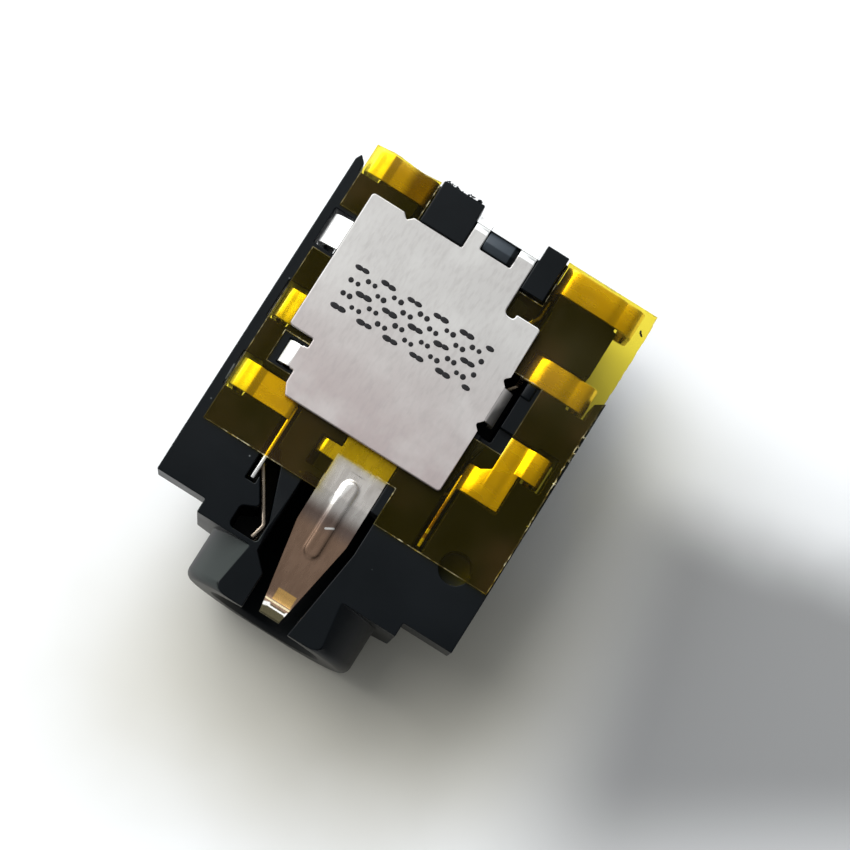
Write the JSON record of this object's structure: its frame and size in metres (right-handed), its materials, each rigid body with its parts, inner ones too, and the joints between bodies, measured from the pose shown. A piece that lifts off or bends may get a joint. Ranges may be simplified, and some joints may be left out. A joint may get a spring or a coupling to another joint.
{
  "type": "audio jack socket",
  "caption": "Mid-mount 3.5 mm audio jack socket with a black moulding, stamped contacts, amber film and a steel cover plate.",
  "frame": {"origin": "middle of the bounding box, on the underside of the core", "axes": "+Y is the way the plug goes in, from the mouth at the lowest Y; +Z points from the underside to the cover plate; +X is to the right, seen from the mouth"},
  "size_m": [0.0106, 0.0144, 0.0056],
  "materials": {
    "black_moulding": "semi gloss moulded",
    "steel_plate": "fine rolled grain, satin",
    "plated_contact": "bright plated spring sheet",
    "amber_film": "clear amber glossy film"
  },
  "bodies": {
    "root": {"housing": "black_moulding", "insulating_film": "amber_film", "cover_plate": "steel_plate", "sleeve_contact": "plated_contact", "front_left_contact": "plated_contact", "front_right_contact": "plated_contact", "rear_left_contact": "plated_contact", "rear_right_contact": "plated_contact", "mid_right_contact": "plated_contact"}
  },
  "joints": []
}
